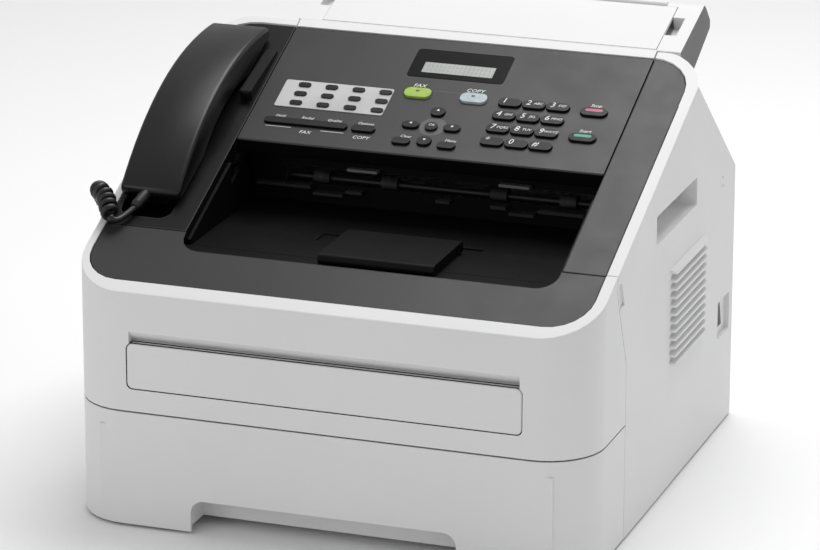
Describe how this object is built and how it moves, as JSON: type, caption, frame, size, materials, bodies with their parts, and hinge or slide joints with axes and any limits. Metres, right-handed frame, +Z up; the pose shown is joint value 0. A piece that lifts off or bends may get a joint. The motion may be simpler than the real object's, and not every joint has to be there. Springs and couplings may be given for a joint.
{
  "type": "fax machine",
  "caption": "Compact desktop laser fax machine with a corded handset, a sloped key panel, an output tray and a pull-out paper cassette.",
  "frame": {"origin": "on the floor, under the middle of the body's box (cord left out)", "axes": "+X to the right as seen from the front, +Y to the back, +Z up"},
  "size_m": [0.3917, 0.36, 0.308],
  "materials": {
    "white_shell": "fine matte texture",
    "charcoal_panel": "satin with a fine grain",
    "black_plastic": "satin",
    "handset_black": "satin gloss",
    "grey_frame": "plain",
    "steel_sheet": "plain",
    "circuit_board": "solder mask",
    "roller_rubber": "matt",
    "lcd_glass": "clear window over a display",
    "key_black": "satin",
    "key_lime": "translucent satin",
    "key_aqua": "translucent satin",
    "cord_black": "satin"
  },
  "bodies": {
    "machine": {"base_pan": "grey_frame", "side_panel_right": "white_shell", "side_panel_left": "white_shell", "rear_panel": "white_shell", "bezel_right": "charcoal_panel", "bezel_left": "charcoal_panel", "output_tray": "charcoal_panel", "exit_frame": "charcoal_panel", "adf_housing": "white_shell", "laser_unit": "steel_sheet", "main_board": "circuit_board", "fuser_unit": "grey_frame", "jack_block": "black_plastic", "handset_plug": "black_plastic", "handset_cord": "cord_black", "document_scanner": "charcoal_panel"},
    "front_cover": {"front_cover": "white_shell", "front_bezel": "charcoal_panel"},
    "cassette": {"paper_cassette": "white_shell"},
    "lift_plate": {"lift_plate": "steel_sheet"},
    "slot_cover": {"manual_slot_cover": "white_shell"},
    "control_panel": {"control_panel": "charcoal_panel", "panel_trim": "white_shell", "lcd_window": "lcd_glass"},
    "document_flap": {"document_flap": "white_shell"},
    "guide_left": {"document_guide_left": "charcoal_panel"},
    "guide_right": {"document_guide_right": "charcoal_panel"},
    "tray_flap": {"tray_flap": "charcoal_panel"},
    "rear_cover": {"rear_cover": "white_shell"},
    "power_switch": {"power_switch": "black_plastic"},
    "toner": {"toner_cartridge": "black_plastic"},
    "exit_roller": {"exit_roller": "roller_rubber"},
    "feed_roller": {"feed_roller": "roller_rubber"},
    "handset": {"handset": "handset_black"},
    "hook_switch": {"hook_switch": "black_plastic"},
    "key_start": {"key_start": "key_black"},
    "key_stop": {"key_stop": "key_black"},
    "key_fax": {"key_fax": "key_lime"},
    "key_copy": {"key_copy": "key_aqua"},
    "key_ok": {"key_ok": "key_black"},
    "key_up": {"key_up": "key_black"},
    "key_down": {"key_down": "key_black"},
    "key_left": {"key_left": "key_black"},
    "key_right": {"key_right": "key_black"},
    "key_clear": {"key_clear": "key_black"},
    "key_menu": {"key_menu": "key_black"},
    "key_options": {"key_options": "key_black"},
    "key_functions": {"key_functions": "key_black"},
    "key_1": {"key_1": "key_black"},
    "key_2": {"key_2": "key_black"},
    "key_3": {"key_3": "key_black"},
    "key_4": {"key_4": "key_black"},
    "key_5": {"key_5": "key_black"},
    "key_6": {"key_6": "key_black"},
    "key_7": {"key_7": "key_black"},
    "key_8": {"key_8": "key_black"},
    "key_9": {"key_9": "key_black"},
    "key_star": {"key_star": "key_black"},
    "key_0": {"key_0": "key_black"},
    "key_hash": {"key_hash": "key_black"}
  },
  "joints": [
    {"name": "front_cover_hinge", "type": "hinge", "parent": "machine", "child": "front_cover", "pos_m": [0, -0.1782, 0.0854], "axis": [1, 0, 0], "range_deg": [0, 65]},
    {"name": "cassette_slide", "type": "slide", "parent": "machine", "child": "cassette", "axis": [0, -1, 0], "range_m": [0, 0.25]},
    {"name": "control_panel_hinge", "type": "hinge", "parent": "machine", "child": "control_panel", "pos_m": [0.0125, -0.01695, 0.22296], "axis": [1, 0, 0], "range_deg": [0, 50]},
    {"name": "document_flap_hinge", "type": "hinge", "parent": "machine", "child": "document_flap", "pos_m": [0.0203, 0.15863, 0.30532], "axis": [-1, 0, 0], "range_deg": [0, 115]},
    {"name": "rear_cover_hinge", "type": "hinge", "parent": "machine", "child": "rear_cover", "pos_m": [0, 0.179, 0.056], "axis": [-1, 0, 0], "range_deg": [0, 60]},
    {"name": "handset_lift", "type": "slide", "parent": "machine", "child": "handset", "axis": [0, -0.3933, 0.9194], "range_m": [0, 0.08]},
    {"name": "slot_cover_hinge", "type": "hinge", "parent": "front_cover", "child": "slot_cover", "pos_m": [0, -0.1795, 0.1001], "axis": [-1, 0, 0], "range_deg": [-85, 0]},
    {"name": "tray_flap_hinge", "type": "hinge", "parent": "front_cover", "child": "tray_flap", "pos_m": [0.0203, -0.1275, 0.188], "axis": [1, 0, 0], "range_deg": [0, 150]},
    {"name": "power_switch_rocker", "type": "hinge", "parent": "machine", "child": "power_switch", "pos_m": [0.1795, 0.1435, 0.086], "axis": [0, 1, 0], "range_deg": [0, 12]},
    {"name": "toner_slide", "type": "slide", "parent": "machine", "child": "toner", "axis": [0, -1, 0], "range_m": [0, 0.03]},
    {"name": "lift_plate_hinge", "type": "hinge", "parent": "cassette", "child": "lift_plate", "pos_m": [0, 0.136, 0.0107], "axis": [1, 0, 0], "range_deg": [-10, 0]},
    {"name": "guide_left_slide", "type": "slide", "parent": "machine", "child": "guide_left", "axis": [1, 0, 0], "range_m": [0, 0.045]},
    {"name": "guide_right_slide", "type": "slide", "parent": "machine", "child": "guide_right", "axis": [-1, 0, 0], "range_m": [0, 0.045]},
    {"name": "hook_switch_travel", "type": "slide", "parent": "machine", "child": "hook_switch", "axis": [0, -0.3933, 0.9194], "range_m": [0, 0.002], "stiffness_N_per_m": 150, "springref_m": 0.003},
    {"name": "exit_roller_spin", "type": "hinge", "parent": "machine", "child": "exit_roller", "pos_m": [0.0203, 0.015, 0.199], "axis": [1, 0, 0], "continuous": true},
    {"name": "feed_roller_spin", "type": "hinge", "parent": "machine", "child": "feed_roller", "pos_m": [0.0203, 0.08056, 0.25379], "axis": [1, 0, 0], "continuous": true},
    {"name": "key_start_press", "type": "slide", "parent": "control_panel", "child": "key_start", "axis": [0, 0.3933, -0.9194], "range_m": [0, 0.001], "stiffness_N_per_m": 400},
    {"name": "key_stop_press", "type": "slide", "parent": "control_panel", "child": "key_stop", "axis": [0, 0.3933, -0.9194], "range_m": [0, 0.001], "stiffness_N_per_m": 400},
    {"name": "key_fax_press", "type": "slide", "parent": "control_panel", "child": "key_fax", "axis": [0, 0.3933, -0.9194], "range_m": [0, 0.001], "stiffness_N_per_m": 400},
    {"name": "key_copy_press", "type": "slide", "parent": "control_panel", "child": "key_copy", "axis": [0, 0.3933, -0.9194], "range_m": [0, 0.001], "stiffness_N_per_m": 400},
    {"name": "key_ok_press", "type": "slide", "parent": "control_panel", "child": "key_ok", "axis": [0, 0.3933, -0.9194], "range_m": [0, 0.001], "stiffness_N_per_m": 400},
    {"name": "key_up_press", "type": "slide", "parent": "control_panel", "child": "key_up", "axis": [0, 0.3933, -0.9194], "range_m": [0, 0.001], "stiffness_N_per_m": 400},
    {"name": "key_down_press", "type": "slide", "parent": "control_panel", "child": "key_down", "axis": [0, 0.3933, -0.9194], "range_m": [0, 0.001], "stiffness_N_per_m": 400},
    {"name": "key_left_press", "type": "slide", "parent": "control_panel", "child": "key_left", "axis": [0, 0.3933, -0.9194], "range_m": [0, 0.001], "stiffness_N_per_m": 400},
    {"name": "key_right_press", "type": "slide", "parent": "control_panel", "child": "key_right", "axis": [0, 0.3933, -0.9194], "range_m": [0, 0.001], "stiffness_N_per_m": 400},
    {"name": "key_clear_press", "type": "slide", "parent": "control_panel", "child": "key_clear", "axis": [0, 0.3933, -0.9194], "range_m": [0, 0.001], "stiffness_N_per_m": 400},
    {"name": "key_menu_press", "type": "slide", "parent": "control_panel", "child": "key_menu", "axis": [0, 0.3933, -0.9194], "range_m": [0, 0.001], "stiffness_N_per_m": 400},
    {"name": "key_options_press", "type": "slide", "parent": "control_panel", "child": "key_options", "axis": [0, 0.3933, -0.9194], "range_m": [0, 0.001], "stiffness_N_per_m": 400},
    {"name": "key_functions_press", "type": "slide", "parent": "control_panel", "child": "key_functions", "axis": [0, 0.3933, -0.9194], "range_m": [0, 0.001], "stiffness_N_per_m": 400},
    {"name": "key_1_press", "type": "slide", "parent": "control_panel", "child": "key_1", "axis": [0, 0.3933, -0.9194], "range_m": [0, 0.001], "stiffness_N_per_m": 400},
    {"name": "key_2_press", "type": "slide", "parent": "control_panel", "child": "key_2", "axis": [0, 0.3933, -0.9194], "range_m": [0, 0.001], "stiffness_N_per_m": 400},
    {"name": "key_3_press", "type": "slide", "parent": "control_panel", "child": "key_3", "axis": [0, 0.3933, -0.9194], "range_m": [0, 0.001], "stiffness_N_per_m": 400},
    {"name": "key_4_press", "type": "slide", "parent": "control_panel", "child": "key_4", "axis": [0, 0.3933, -0.9194], "range_m": [0, 0.001], "stiffness_N_per_m": 400},
    {"name": "key_5_press", "type": "slide", "parent": "control_panel", "child": "key_5", "axis": [0, 0.3933, -0.9194], "range_m": [0, 0.001], "stiffness_N_per_m": 400},
    {"name": "key_6_press", "type": "slide", "parent": "control_panel", "child": "key_6", "axis": [0, 0.3933, -0.9194], "range_m": [0, 0.001], "stiffness_N_per_m": 400},
    {"name": "key_7_press", "type": "slide", "parent": "control_panel", "child": "key_7", "axis": [0, 0.3933, -0.9194], "range_m": [0, 0.001], "stiffness_N_per_m": 400},
    {"name": "key_8_press", "type": "slide", "parent": "control_panel", "child": "key_8", "axis": [0, 0.3933, -0.9194], "range_m": [0, 0.001], "stiffness_N_per_m": 400},
    {"name": "key_9_press", "type": "slide", "parent": "control_panel", "child": "key_9", "axis": [0, 0.3933, -0.9194], "range_m": [0, 0.001], "stiffness_N_per_m": 400},
    {"name": "key_star_press", "type": "slide", "parent": "control_panel", "child": "key_star", "axis": [0, 0.3933, -0.9194], "range_m": [0, 0.001], "stiffness_N_per_m": 400},
    {"name": "key_0_press", "type": "slide", "parent": "control_panel", "child": "key_0", "axis": [0, 0.3933, -0.9194], "range_m": [0, 0.001], "stiffness_N_per_m": 400},
    {"name": "key_hash_press", "type": "slide", "parent": "control_panel", "child": "key_hash", "axis": [0, 0.3933, -0.9194], "range_m": [0, 0.001], "stiffness_N_per_m": 400}
  ],
  "couplings": [
    {"joint": "guide_right_slide", "follows": "guide_left_slide", "ratio": 1},
    {"joint": "hook_switch_travel", "follows": "handset_lift", "ratio": 0.025}
  ]
}
